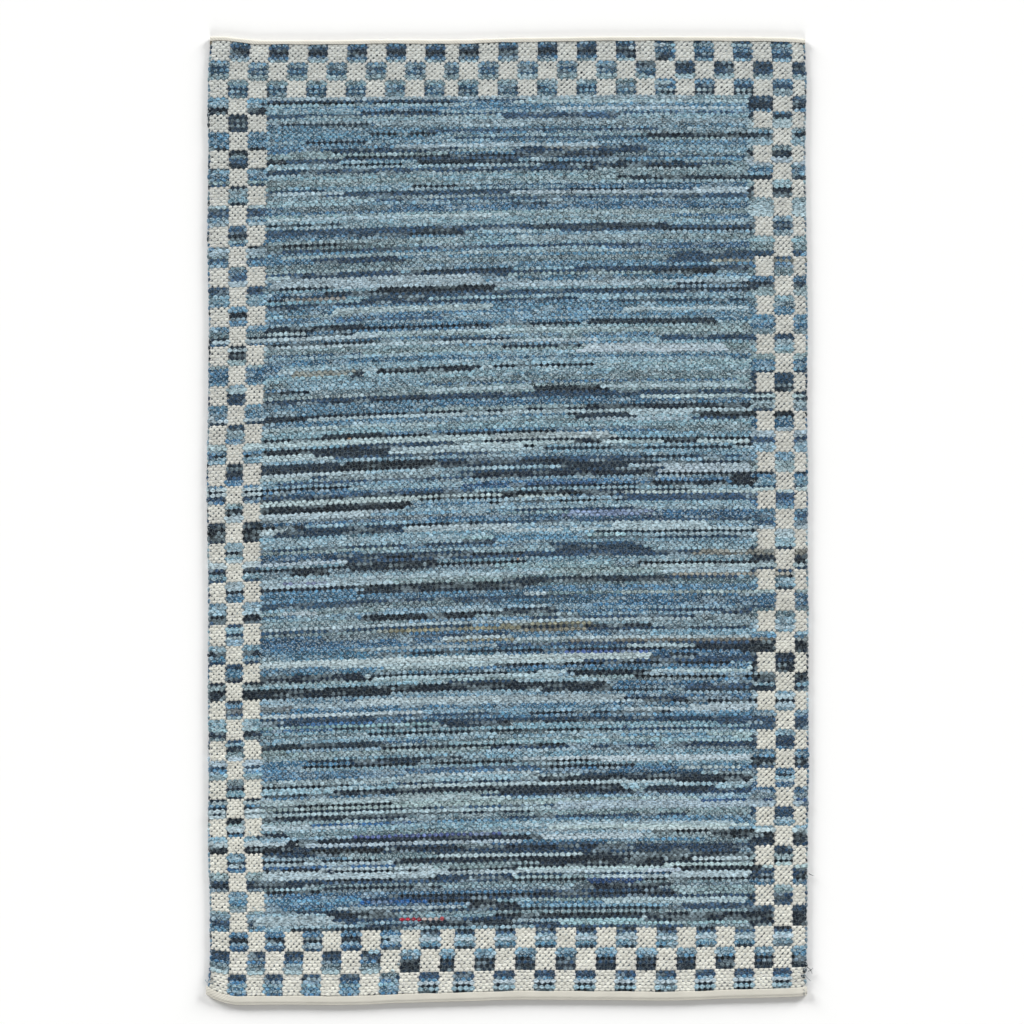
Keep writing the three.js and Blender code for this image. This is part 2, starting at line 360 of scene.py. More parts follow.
# strips that stand out, charted: y of the strip's middle and x of its two ends in those pixels, and how many
# picks deep it is; a fifth value is the strip's own colour
notableStrips = {
    "pale_wash": (
        (127, 459, 520, 1), (195, 267, 350, 1), (219, 305, 409, 1), (241, 500, 649, 2), (281, 267, 480, 3),
        (285, 500, 649, 2), (311, 340, 499, 2), (339, 260, 376, 1), (347, 260, 459, 1), (348, 586, 732, 2),
        (396, 639, 760, 1), (443, 260, 520, 2), (437, 500, 616, 2), (452, 389, 520, 2), (480, 260, 306, 1),
        (517, 260, 376, 2), (529, 408, 520, 2), (527, 608, 712, 2), (531, 500, 566, 1), (565, 260, 343, 1),
        (557, 406, 482, 1), (567, 641, 760, 2), (585, 260, 409, 4), (593, 623, 760, 1), (614, 288, 321, 1),
        (663, 260, 520, 2), (658, 533, 649, 2), (701, 350, 520, 2), (698, 500, 630, 2), (767, 676, 740, 1),
        (804, 558, 760, 3), (829, 260, 356, 2), (843, 293, 520, 2), (838, 500, 640, 2), (829, 500, 583, 1),
        (827, 624, 724, 1), (864, 263, 396, 1), (867, 500, 760, 2), (906, 260, 459, 1), (919, 260, 340, 3),
        (900, 600, 754, 2), (800, 260, 480, 1),
    ),
    "light_wash": (
        (242, 459, 520, 2), (386, 293, 426, 4), (487, 343, 476, 2), (543, 260, 459, 3), (772, 600, 716, 1),
        (922, 566, 749, 2), (567, 500, 616, 2), (635, 640, 760, 2), (780, 440, 520, 2),
    ),
    "mid_wash": (
        (265, 263, 318, 2), (323, 263, 323, 2), (338, 583, 657, 2), (373, 260, 283, 3), (411, 260, 426, 4),
        (430, 500, 649, 1), (433, 376, 520, 1), (539, 500, 591, 2), (596, 260, 520, 4), (590, 500, 760, 2),
        (603, 580, 760, 4), (602, 500, 616, 2), (602, 260, 353, 2), (605, 464, 520, 1), (645, 260, 442, 2),
        (657, 260, 376, 2), (635, 505, 640, 2), (771, 260, 303, 2), (770, 541, 760, 1), (902, 260, 358, 2),
        (910, 265, 340, 1),
    ),
    "grey_wash": (
        (212, 290, 386, 2), (607, 360, 459, 2), (552, 260, 393, 1), (638, 326, 409, 2), (619, 689, 760, 3),
        (734, 500, 558, 1), (889, 676, 760, 3), (737, 260, 373, 1), (478, 326, 442, 2), (580, 389, 520, 2),
        (572, 550, 666, 2), (858, 343, 432, 2), (812, 535, 749, 2),
    ),
    "indigo": (
        (119, 500, 616, 2), (149, 522, 649, 3), (153, 333, 459, 2), (160, 467, 520, 1), (258, 672, 760, 4),
        (301, 366, 429, 2), (321, 341, 452, 1), (447, 354, 459, 2), (498, 623, 760, 3), (533, 282, 409, 3),
        (547, 550, 649, 3), (629, 260, 476, 1), (688, 689, 749, 2), (745, 676, 760, 2), (763, 348, 426, 2),
        (873, 522, 676, 1), (844, 500, 603, 1), (906, 676, 760, 2), (878, 444, 520, 3), (602, 358, 432, 1),
        (340, 657, 760, 2), (721, 714, 760, 3), (775, 583, 699, 2),
    ),
    "raw_navy": (
        (105, 260, 360, 1), (103, 374, 459, 1), (113, 356, 446, 1), (126, 288, 376, 1), (143, 298, 366, 1),
        (135, 376, 432, 1), (136, 643, 760, 2), (165, 267, 288, 2), (163, 426, 520, 2), (166, 338, 426, 1),
        (163, 500, 691, 1), (168, 583, 704, 1), (180, 628, 760, 2), (186, 409, 466, 1), (190, 575, 624, 1),
        (204, 513, 558, 1), (227, 268, 348, 1), (228, 533, 666, 2), (230, 666, 760, 1), (235, 416, 461, 2),
        (245, 260, 366, 1), (250, 326, 369, 1), (271, 419, 520, 1), (274, 657, 719, 2), (290, 260, 343, 1),
        (290, 373, 499, 2), (289, 603, 760, 1), (284, 679, 760, 1), (301, 273, 343, 1), (324, 583, 716, 2),
        (327, 354, 462, 1), (337, 260, 353, 1), (344, 260, 379, 1), (348, 500, 586, 1), (340, 439, 520, 1),
        (371, 374, 477, 2), (373, 353, 366, 3), (365, 500, 600, 1), (390, 533, 606, 2), (401, 336, 426, 1),
        (417, 571, 633, 2), (415, 697, 760, 2), (436, 331, 389, 1), (442, 575, 603, 1), (442, 662, 706, 2),
        (449, 545, 729, 1), (454, 260, 301, 1), (456, 318, 389, 2), (460, 520, 565, 1), (458, 649, 692, 1),
        (470, 260, 343, 3), (465, 343, 439, 3), (463, 439, 479, 1), (475, 467, 657, 2), (468, 566, 633, 1),
        (475, 657, 760, 1), (479, 727, 760, 3), (482, 654, 727, 1), (490, 260, 353, 1), (497, 260, 296, 1),
        (508, 260, 414, 3), (499, 414, 520, 1), (495, 500, 583, 1), (494, 583, 623, 3), (528, 260, 301, 1),
        (526, 409, 476, 1), (532, 600, 760, 1), (556, 386, 520, 1), (562, 636, 760, 1), (570, 260, 335, 1),
        (577, 293, 333, 2), (567, 350, 434, 3), (565, 434, 520, 1), (590, 263, 380, 1), (588, 360, 520, 3),
        (581, 500, 666, 2), (618, 365, 476, 2), (615, 476, 520, 1), (613, 500, 556, 2), (626, 500, 656, 1),
        (650, 742, 760, 1), (654, 672, 706, 1), (663, 500, 724, 1), (678, 260, 369, 3), (674, 369, 545, 1),
        (675, 575, 649, 2), (678, 633, 760, 1), (694, 260, 393, 4), (686, 393, 611, 3), (700, 646, 760, 1),
        (712, 525, 674, 1), (728, 333, 520, 1), (721, 500, 603, 1), (749, 260, 389, 2), (745, 389, 522, 1),
        (759, 308, 469, 1), (765, 538, 643, 1), (776, 531, 760, 1), (788, 260, 360, 1), (796, 260, 340, 1),
        (792, 340, 500, 2), (788, 500, 629, 3), (789, 646, 716, 2), (805, 260, 393, 1), (808, 260, 301, 1),
        (812, 260, 426, 1), (817, 346, 376, 1), (837, 260, 291, 2), (840, 293, 538, 2), (831, 649, 759, 1),
        (836, 717, 760, 2), (849, 260, 301, 3), (851, 308, 389, 2), (845, 389, 623, 1), (852, 590, 755, 1),
        (858, 500, 699, 1), (862, 399, 520, 1), (865, 500, 667, 1), (870, 265, 320, 2), (871, 328, 421, 1),
        (868, 441, 520, 1), (870, 679, 760, 2), (879, 320, 436, 1), (887, 260, 320, 2), (886, 320, 439, 1),
        (879, 500, 759, 1), (887, 590, 667, 2), (901, 434, 492, 1), (906, 467, 520, 2), (907, 500, 682, 1),
        (912, 500, 659, 1), (916, 646, 760, 3), (916, 333, 396, 2), (917, 500, 646, 1), (923, 417, 520, 2),
        (929, 290, 401, 1), (929, 500, 760, 1),
    ),
    "odd_strips": (
        (377, 290, 353, 2, "87887f"), (713, 260, 287, 2, "5f6468"), (631, 381, 520, 1, "87856f"),
        (625, 500, 600, 1, "84836f"), (641, 576, 760, 1, "6c6a64"), (555, 696, 760, 2, "85847c"),
        (575, 672, 760, 1, "b5b2a6"), (485, 457, 591, 1, "345a87"), (514, 570, 649, 2, "7a8cae"),
        (585, 283, 321, 1, "7680a4"), (653, 560, 646, 1, "435a8f"), (800, 697, 760, 1, "284770"),
        (824, 316, 416, 1, "34608e"), (834, 350, 500, 1, "4f5f92"), (867, 263, 396, 1, "34608e"),
        (880, 590, 639, 2, "27436f"), (723, 301, 409, 1, "386391"), (918, 402, 425, 1, "a51f33"),
        (918, 425, 440, 1, "b9a9a4"), (918, 440, 444, 1, "a8484e"), (902, 358, 432, 1, "2a5a95"),
        (630, 520, 590, 1, "8d8978"), (262, 708, 760, 1, "8d8c80"), (300, 293, 343, 1, "857f78"),
        (148, 540, 600, 1, "8f8e8a"),
    ),
}


def photoPlace(x, y):  # mm on the rug of a pixel of the photograph
    middle, size = photoFrame["middle"], photoFrame["mmPerPixel"]
    return (x - middle[0]) * size[0], (middle[1] - y) * size[1]


def layNotableStrips():
    allPicks = np.arange(weave["picks"]) + 0.5
    for name, strips in notableStrips.items():
        for y, xFrom, xTo, deep, *ownColour in strips:
            middleX, middleY = photoPlace((xFrom + xTo) / 2, y)
            if xFrom <= photoFrame["field"][0] and chance.random() < stripLaw["runsOn"]:
                xFrom = photoFrame["rug"][0]
            if xTo >= photoFrame["field"][1] and chance.random() < stripLaw["runsOn"]:
                xTo = photoFrame["rug"][1]
            lines = pickLine(allPicks, np.full(len(allPicks), middleX))
            first = int(np.argmin(np.abs(lines - middleY))) - (deep - 1) // 2
            shares = [shareAt(photoPlace(x, y)[0], middleY) for x in (xFrom, xTo)]
            warpFrom, warpTo = (int(share * weave["warps"]) for share in shares)
            base = linear(ownColour[0]) if ownColour else washColour(name)
            stray = stripLaw["raggedWarps"]
            for row in range(first, min(first + deep, weave["picks"])):
                ragged = chance.integers(-stray, stray + 1, 2) * (xTo - xFrom > stripLaw["raggedFrom"])
                columns = np.arange(max(warpFrom + ragged[0], 0), min(warpTo + ragged[1], weave["warps"]))
                rowBase = base * math.exp(chance.normal(0, stripLaw["rowTone"]))
                fillStrip((np.full(len(columns), row), columns), name, rowBase)


layNotableStrips()

print("materials")


def addNode(tree, kind, settings=None, links=None):  # a node, its settings and what feeds it
    node = tree.nodes.new(kind)
    for key, value in (settings or {}).items():
        if isinstance(key, int) or key in node.inputs:
            node.inputs[key].default_value = value
        else:
            setattr(node, key, value)
    for key, source in (links or {}).items():
        tree.links.new(source, node.inputs[key])
    return node


def startMaterial(name, roughness, sheen):
    material = bpy.data.materials.new(name)
    material.use_nodes = True
    tree = material.node_tree
    tree.nodes.clear()
    out = addNode(tree, "ShaderNodeOutputMaterial")
    shader = addNode(tree, "ShaderNodeBsdfPrincipled", {
        "Roughness": roughness, "IOR": 1.45, "Sheen Weight": sheen, "Sheen Roughness": 0.5,
        "Specular IOR Level": 0.15})
    tree.links.new(shader.outputs[0], out.inputs["Surface"])
    return material, tree, shader


# yarn-dyed denim, cut in strips and beaten in: matt, mottled along the pick, with white ends of cut yarn
denimCloth = {"roughness": 0.95, "sheen": 0.03, "fibre": 2.4, "patch": 7.0, "bump": 0.6, "fray": 2.2,
              "frayHex": "cfdde0", "frayed": 0.45, "range": (0.3, 1.42)}
# twisted cotton cord, unbleached: warm white and matt, only faintly mottled
cottonCord = {"roughness": 0.9, "sheen": 0.05, "fibre": 1.6, "patch": 14.0, "bump": 0.4, "fray": 1.7,
              "frayHex": "eceae2", "frayed": 0.3, "range": (0.8, 1.12)}
# the same in every weft: how far the mottling is stretched along the pick, the part of its noise that counts,
# how far the patches differ, the part of the noise that is cut yarn, and the depth of the fibres in mm
weftGrain = {"alongPick": 0.45, "noise": (0.3, 0.7), "patches": (0.9, 1.1), "cutYarn": (0.53, 0.64),
             "relief": 0.4}


def perMetre(size):  # a texture's scale for a pattern that repeats about every size mm
    return 1 / (size * mm)


def spans(before, after):  # the settings of a map range
    return {"From Min": before[0], "From Max": before[1], "To Min": after[0], "To Max": after[1]}


def weftMaterial(name, facts):
    material, tree, shader = startMaterial(name, facts["roughness"], facts["sheen"])
    place = addNode(tree, "ShaderNodeTexCoord")
    along = addNode(tree, "ShaderNodeMapping", {"Scale": (weftGrain["alongPick"], 1.0, 1.0)},
                    {"Vector": place.outputs["Object"]})
    dyeAndShade = addNode(tree, "ShaderNodeAttribute", {"attribute_name": "dyeAndShade"})
    fibre = addNode(tree, "ShaderNodeTexNoise", {"Scale": perMetre(facts["fibre"]), "Detail": 2.0},
                    {"Vector": along.outputs[0]})
    patch = addNode(tree, "ShaderNodeTexNoise", {"Scale": perMetre(facts["patch"]), "Detail": 1.0},
                    {"Vector": along.outputs[0]})
    fibreRange = addNode(tree, "ShaderNodeMapRange", spans(weftGrain["noise"], facts["range"]),
                         {"Value": fibre.outputs[0]})
    patchRange = addNode(tree, "ShaderNodeMapRange", spans(weftGrain["noise"], weftGrain["patches"]),
                         {"Value": patch.outputs[0]})
    amount = addNode(tree, "ShaderNodeMath", {"operation": "MULTIPLY"},
                     {0: fibreRange.outputs[0], 1: patchRange.outputs[0]})
    colour = addNode(tree, "ShaderNodeVectorMath", {"operation": "SCALE"},
                     {0: dyeAndShade.outputs["Color"], "Scale": amount.outputs[0]})
    # the white ends of cut yarn, which stand out most on dark cloth
    ends = addNode(tree, "ShaderNodeTexNoise", {"Scale": perMetre(facts["fray"]), "Detail": 1.0},
                   {"Vector": place.outputs["Object"]})
    endRange = addNode(tree, "ShaderNodeMapRange", spans(weftGrain["cutYarn"], (0.0, facts["frayed"])),
                       {"Value": ends.outputs[0]})
    frayed = addNode(tree, "ShaderNodeMix", {"data_type": "RGBA", 7: (*linear(facts["frayHex"]), 1)},
                     {0: endRange.outputs[0], 6: colour.outputs[0]})
    tree.links.new(frayed.outputs[2], shader.inputs["Base Color"])
    bump = addNode(tree, "ShaderNodeBump", {"Strength": facts["bump"], "Distance": weftGrain["relief"] * mm},
                   {"Height": fibre.outputs[0]})
    tree.links.new(bump.outputs[0], shader.inputs["Normal"])
    return material


print("weft")


def takeShape(model, smooth=True):  # the points and faces of something modelled once, to be repeated
    mesh = model.data
    shape = {
        "points": np.array([corner.co for corner in mesh.vertices]),
        "corners": np.array([index for face in mesh.polygons for index in face.vertices]),
        "sizes": np.array([len(face.vertices) for face in mesh.polygons]),
        "downward": np.array([face.normal.z < -0.5 for face in mesh.polygons]),
        "smooth": smooth,
    }
    bpy.data.objects.remove(model)
    return shape


def modelLump(facts):  # one bulge of weft over a warp: six-sided, wide at its foot, z from 0 to 1
    crown = facts["crown"]
    bpy.ops.object.select_all(action="DESELECT")
    bpy.ops.mesh.primitive_cylinder_add(vertices=6, radius=1, depth=1, location=(0, 0, 0.5),
                                        rotation=(0, 0, math.radians(facts["turned"])))
    bpy.ops.object.transform_apply(location=True, rotation=True, scale=True)
    lump = bpy.context.object
    bpy.ops.object.mode_set(mode="EDIT")
    bpy.ops.mesh.select_all(action="DESELECT")
    bpy.ops.object.mode_set(mode="OBJECT")
    for corner in lump.data.vertices:
        corner.select = corner.co.z > 0.5
    bpy.ops.object.mode_set(mode="EDIT")
    bpy.ops.transform.resize(value=(crown, crown, 1), center_override=(0, 0, 1))
    bpy.ops.object.mode_set(mode="OBJECT")
    return takeShape(lump, smooth=facts["smooth"])


def pieceFromArrays(name, points, corners, sizes, material, smooth=True):
    mesh = bpy.data.meshes.new(name)
    mesh.vertices.add(len(points))
    mesh.vertices.foreach_set("co", np.ascontiguousarray(points * mm, dtype=np.float32).ravel())
    mesh.loops.add(len(corners))
    mesh.loops.foreach_set("vertex_index", corners.astype(np.int32))
    mesh.polygons.add(len(sizes))
    starts = np.concatenate(([0], np.cumsum(sizes)[:-1]))
    mesh.polygons.foreach_set("loop_start", starts.astype(np.int32))
    mesh.polygons.foreach_set("use_smooth", np.full(len(sizes), smooth))
    mesh.update(calc_edges=True)
    piece = bpy.data.objects.new(name, mesh)
    bpy.context.scene.collection.objects.link(piece)
    mesh.materials.append(material)
    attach(piece, ridesOn)
    return piece


def paint(piece, colours):  # a colour for each corner point, in linear numbers
    # the thing's colour, with painted shade wherever the caller has darkened it
    attribute = piece.data.attributes.new("dyeAndShade", "FLOAT_COLOR", "POINT")
    filled = np.concatenate((np.clip(colours, 0, 1), np.ones((len(colours), 1))), axis=1)
    attribute.data.foreach_set("color", np.ascontiguousarray(filled, dtype=np.float32).ravel())


# where a lump's top and its foot lie in its square of the bake's map: the half sizes and the middle of each
cellLayout = {"top": ((0.46, 0.36), (0.5, 0.6)), "foot": ((0.46, 0.08), (0.5, 0.1))}


def cellMap(piece, shape, count):  # a square of the bake's map for each lump
    grid = math.ceil(math.sqrt(count))
    flat = shape["points"][shape["corners"]][:, :2]
    top, foot = (flat * halfSize + middle for halfSize, middle in cellLayout.values())
    isFoot = np.repeat(shape["downward"], shape["sizes"])
    inCell = np.where(isFoot[:, None], foot, top)
    cells = np.stack(np.divmod(np.arange(count), grid), axis=1)
    places = (cells[:, None, :] + inCell[None]) / grid
    layer = piece.data.uv_layers.new(name="OFBake")
    layer.uv.foreach_set("vector", np.ascontiguousarray(places, dtype=np.float32).ravel())


def repeatLump(name, shape, places, material):
    count = len(places["x"])
    points = shape["points"]
    isTop = points[:, 2] > 0.5
    px = points[None, :, 0] * places["length"][:, None] + isTop * places["leanX"][:, None]
    py = points[None, :, 1] * places["width"][:, None] + isTop * places["leanY"][:, None]
    turnCos = np.cos(places["turn"])[:, None]
    turnSin = np.sin(places["turn"])[:, None]
    x = places["x"][:, None] + px * turnCos - py * turnSin
    y = places["y"][:, None] + px * turnSin + py * turnCos
    z = places["foot"][:, None] + points[None, :, 2] * (places["top"] - places["foot"])[:, None]
    allPoints = np.stack((x, y, z), axis=-1).reshape(-1, 3)
    corners = (shape["corners"][None] + np.arange(count)[:, None] * len(points)).ravel()
    piece = pieceFromArrays(name, allPoints, corners, np.tile(shape["sizes"], count), material,
                            smooth=shape["smooth"])
    # a lump's foot ring is painted darker by its shade, painted shade in the crevices between lumps; then the
    # cloth's paler back is mixed in by its edge
    foot = places["colour"] * places["shade"]
    foot = foot + (linear(stripLaw["edgeHex"]) - foot) * places["edge"]
    colours = np.where(isTop[None, :, None], places["colour"][:, None, :], foot[:, None, :])
    paint(piece, colours.reshape(-1, 3))
    cellMap(piece, shape, count)
    return piece


# a lump of denim weft, in mm, before its wash makes it fuller or leaner: "bulkLift" is how far a fuller one
# stands up, "palest" the most light that its dye gives back, and "stepUp" how far it may outshine its strip
# its "shade" is the share of its colour kept at a lump's foot: painted shade in the crevices between the lumps
denimLump = {"length": 4.6, "width": 3.85, "foot": 5.9, "top": 7.2, "lean": 0.3, "shade": 0.42, "crown": 0.7,
             "turned": 0, "smooth": False, "bulkLift": 2.0, "palest": 0.6, "stepUp": 0.28}
# a lump of cotton cord, narrower and turned the way the cord is twisted
# its "shade" is the share of its colour kept at a cord's foot: a little painted shade between the cords
cordLump = {"length": 4.4, "width": 3.4, "foot": 6.55, "top": 7.12, "lean": 0.2, "shade": 0.94, "crown": 0.6,
            "turned": 30, "smooth": True, "hex": "d5d5cb", "uneven": 0.05}
# how the cord's twist turns its lumps, at shares of the rug's width, and in the checks along the near end
cordTwist = {"shares": (0, 0.1, 0.4, 1), "degrees": (12, 18, 30, 38), "nearEnd": 6}
# the cords at a check's rim are drawn in, so its sides run straight: mm inward, and shares off their size
cordRim = {"inX": 1.0, "inY": 0.2, "shorter": 0.25, "narrower": 0.12}
# the bed of cotton that the cords lie in, in mm, and its outline: places across the pick and the height there
cordBed = {"low": 5.7, "rim": 6.57, "high": 6.86, "hex": "cececa", "uneven": 0.03,
           "outline": ((0.0, "low"), (1.0, "low"), (1.02, "rim"), (0.5, "high"), (-0.02, "rim")),
           "fromSelvedge": 0.9, "stagger": 0.12}  # in warps
# the dips of the ivory checks, from hardly a dip to a speck of the dark weft, wider where they are darker;
# "slant" is how much longer and leaner they grow towards the right, and "nearEnd" how long and lean there
pinholes = {"length": 1.7, "width": 1.4, "foot": 6.7, "top": 7.2, "lean": 0.1, "shade": 1.0, "rowPull": 0.45,
            "levels": (0, 0.35, 0.6, 0.85, 1), "hexes": ("c9c6b9", "a3a298", "6b6e6e", "30373e", "10151c"),
            "sizes": (0.75, 1.25), "slant": ((0, 0.4, 1), (0, 0.1, 0.5)), "nearEnd": (1.7, 0.6)}
# how unevenly any lump lies: in mm, in radians and in shares of its size
lumpJitter = {"x": 0.25, "y": 0.18, "turn": 0.13, "length": 0.06, "width": 0.08, "top": 0.13}
slopeReach = 4  # mm either side of a lump that its pick's slope is read from


def cellMiddle(warp, pick):  # x and y in mm where a warp crosses a pick
    share = (warp + 0.5) / weave["warps"]
    x = across(share, pickLine(pick + 0.5, flatX(share)))
    return x, pickLine(pick + 0.5, x)


def lumpPlaces(warp, pick, facts):
    count = len(warp)
    x, y = cellMiddle(warp, pick)
    rise = pickLine(pick + 0.5, x + slopeReach) - pickLine(pick + 0.5, x - slopeReach)
    return {
        "x": x + chance.normal(0, lumpJitter["x"], count),
        "y": y + chance.normal(0, lumpJitter["y"], count),
        "turn": np.arctan(rise / (2 * slopeReach)) + chance.normal(0, lumpJitter["turn"], count),
        "length": facts["length"] * chance.normal(1, lumpJitter["length"], count),
        "width": facts["width"] * chance.normal(1, lumpJitter["width"], count),
        "foot": np.full(count, facts["foot"]),
        "top": facts["top"] + chance.normal(0, lumpJitter["top"], count),
        "leanX": chance.normal(0, facts["lean"], count),
        "leanY": chance.normal(0, facts["lean"], count),
        "shade": facts["shade"],
        "edge": 0.0,
    }


# the cotton gives back most light at the near end and grows darker and cooler toward the far end: how much of
# each light it gives back at shares of the rug's length
cottonAlongLength = {"shares": (0, 0.3, 0.5, 0.95), "red": (1.0, 0.91, 0.82, 0.77), "green": (1.0, 0.92, 0.83, 0.81),
              "blue": (1.0, 0.92, 0.85, 0.86)}


def cottonColour(facts, rows):
    shares = rows / weave["picks"]
    toned = [np.interp(shares, cottonAlongLength["shares"], cottonAlongLength[light]) for light in ("red", "green", "blue")]
    return linear(facts["hex"]) * np.stack(toned, axis=1) * chance.normal(1, facts["uneven"], (len(rows), 1))


cordShape = modelLump(cordLump)
warpGrid, pickGrid = np.meshgrid(np.arange(weave["warps"]), np.arange(weave["picks"]))
isLump = (warpGrid + pickGrid) % 2 == 0
ivory = isIvory(warpGrid, pickGrid)
edgeWarps = (warpGrid < 1) | (warpGrid > weave["warps"] - 2)


def weaveDenim():
    pieces = []
    for index, name in enumerate(washNames):
        rows, columns = np.nonzero(isLump & ~ivory & (washOf == index) & ~edgeWarps)
        places = lumpPlaces(columns, rows, denimLump)
        bulk = bulkOf[rows, columns]
        places["length"] = places["length"] * bulk * washes[name]["spread"]
        places["width"] = places["width"] * bulk
        places["top"] = places["top"] + (bulk - 1) * denimLump["bulkLift"]
        places["edge"] = washes[name]["edge"]
        uneven = np.minimum(chance.normal(0, washes[name]["uneven"], (len(rows), 1)), denimLump["stepUp"])
        colours = colourOf[rows, columns] * np.exp(uneven)
        tooPale = colours.max(axis=1, keepdims=True) / denimLump["palest"]
        places["colour"] = colours / np.maximum(tooPale, 1)
        material = weftMaterial("denim_" + name, {**denimCloth, "frayed": washes[name]["frayed"]})
        pieces.append(repeatLump("weft_" + name, modelLump(denimLump), places, material))
        print("  ", name, len(rows), "lumps")
    return pieces


def cordSlant(rows, columns):  # in radians
    slant = np.radians(np.interp(columns / weave["warps"], cordTwist["shares"], cordTwist["degrees"]))
    return np.where(rows < weave["checkPicks"], np.radians(cordTwist["nearEnd"]), slant)


def weaveIvory():
    rows, columns = np.nonzero(isLump & ivory & ~edgeWarps)
    places = lumpPlaces(columns, rows, cordLump)
    places["turn"] = places["turn"] + cordSlant(rows, columns)
    column = columnOf(columns)
    besidePick = rows % weave["checkPicks"]
    inX = (columns == columnStarts[column]) * 1.0 - (columns == columnStarts[column + 1] - 1)
    inY = (besidePick == 0) * 1.0 - (besidePick == weave["checkPicks"] - 1)
    places["x"] = places["x"] + inX * cordRim["inX"]
    places["y"] = places["y"] + inY * cordRim["inY"]
    places["length"] = places["length"] * (1 - cordRim["shorter"] * np.abs(inX))
    places["width"] = places["width"] * (1 - cordRim["narrower"] * np.abs(inY))
    places["colour"] = cottonColour(cordLump, rows)
    material = weftMaterial("cotton_cord", cottonCord)
    return repeatLump("weft_ivory_cotton", cordShape, places, material)


def weaveCordBed():  # a low ridge of cotton for each pick of each ivory check
    checkColumn, row = np.meshgrid(np.arange(len(weave["columnWarps"])), np.arange(weave["picks"]))
    chosen = ivory[row, columnStarts[checkColumn]]
    checkColumn, row = checkColumn[chosen], row[chosen]
    first, last = columnStarts[checkColumn], columnStarts[checkColumn + 1]
    atLeft = first + np.where(first == 0, cordBed["fromSelvedge"], 0)
    atRight = last - np.where(last == weave["warps"], cordBed["fromSelvedge"], 0)
    stagger = (row % 2 * 2 - 1) * cordBed["stagger"]
    points = []
    for share in ((atLeft + stagger) / weave["warps"], (atRight + stagger) / weave["warps"]):
        x = across(share, pickLine(row + 0.5, flatX(share)))
        for line, height in cordBed["outline"]:
            points.append(np.stack((x, pickLine(row + line, x), np.full(len(row), cordBed[height])), axis=-1))
    around = len(cordBed["outline"])
    oneBed = [*range(around), *reversed(range(around, 2 * around))]
    for index in reversed(range(around)):
        after = (index + 1) % around
        oneBed = [index + around, after + around, after, index, *oneBed]
    corners = (np.array(oneBed)[None] + np.arange(len(row))[:, None] * 2 * around).ravel()
    sizes = np.tile((*[4] * around, around, around), len(row))
    bed = pieceFromArrays("weft_cord_bed", np.stack(points, axis=1).reshape(-1, 3), corners, sizes,
                          weftMaterial("cotton_bed", cottonCord), smooth=False)
    paint(bed, np.repeat(cottonColour(cordBed, row), 2 * around, axis=0))
    return bed


def weavePinholes():  # the dips between the cords of the ivory checks
    rows, columns = np.nonzero(ivory & ~isLump & ~edgeWarps)
    ofRow = chance.random((weave["picks"], len(weave["columnWarps"])))[rows, columnOf(columns)]
    level = pinholes["rowPull"] * ofRow + (1 - pinholes["rowPull"]) * chance.random(len(rows))
    places = lumpPlaces(columns, rows, pinholes)
    places["turn"] = places["turn"] + cordSlant(rows, columns)
    atNearEnd = rows < weave["checkPicks"]
    size = np.interp(level, (0, 1), pinholes["sizes"])
    slanted = np.interp(columns / weave["warps"], *pinholes["slant"])
    long, lean = pinholes["nearEnd"]
    places["length"] = places["length"] * size * np.where(atNearEnd, long, 1 + slanted)
    places["width"] = places["width"] * size * np.where(atNearEnd, lean, 1 - slanted / 2)
    dyes = np.array([linear(hexColour) for hexColour in pinholes["hexes"]])
    places["colour"] = np.stack([np.interp(level, pinholes["levels"], dyes[:, i]) for i in range(3)], axis=1)
    material = weftMaterial("denim_between_cords", denimCloth)
    return repeatLump("weft_between_cords", cordShape, places, material)


weftPieces = weaveDenim()
weftPieces.append(weaveIvory())
weftPieces.append(weaveCordBed())
weftPieces.append(weavePinholes())

print("ground of the weave")
# the imported weft seen between the lumps: matt; its top is painted darker in makeGround, painted shade where
# little light gets down to it
groundCloth = {"roughness": 0.95, "sheen": 0.0, "fibre": 1.4, "patch": 9.0, "bump": 0.8, "fray": 1.7,
               "frayHex": "c3ced1", "frayed": 0.25, "range": (0.3, 1.42)}
groundForm = {
    "top": 5.9,
    "inset": 2.2,  # from the selvedge
    # how far from the fold the two rows inside a tape lie, and their lowest and highest z
    "inTape": ((5.0, (1.5, 6.3)), (2.4, (3.0, 5.0))),
    # painted shade: the share of the weft's colour left on the ground's top, in the crevices; the ivory top
    # hex below is the checks' ivory with painted shade
    "shade": 0.6,
    "ivoryShadedTopHex": "d0cec4",
    "ivoryBackHex": "d9d5c8",
    "rimHex": "3f4f60",
}


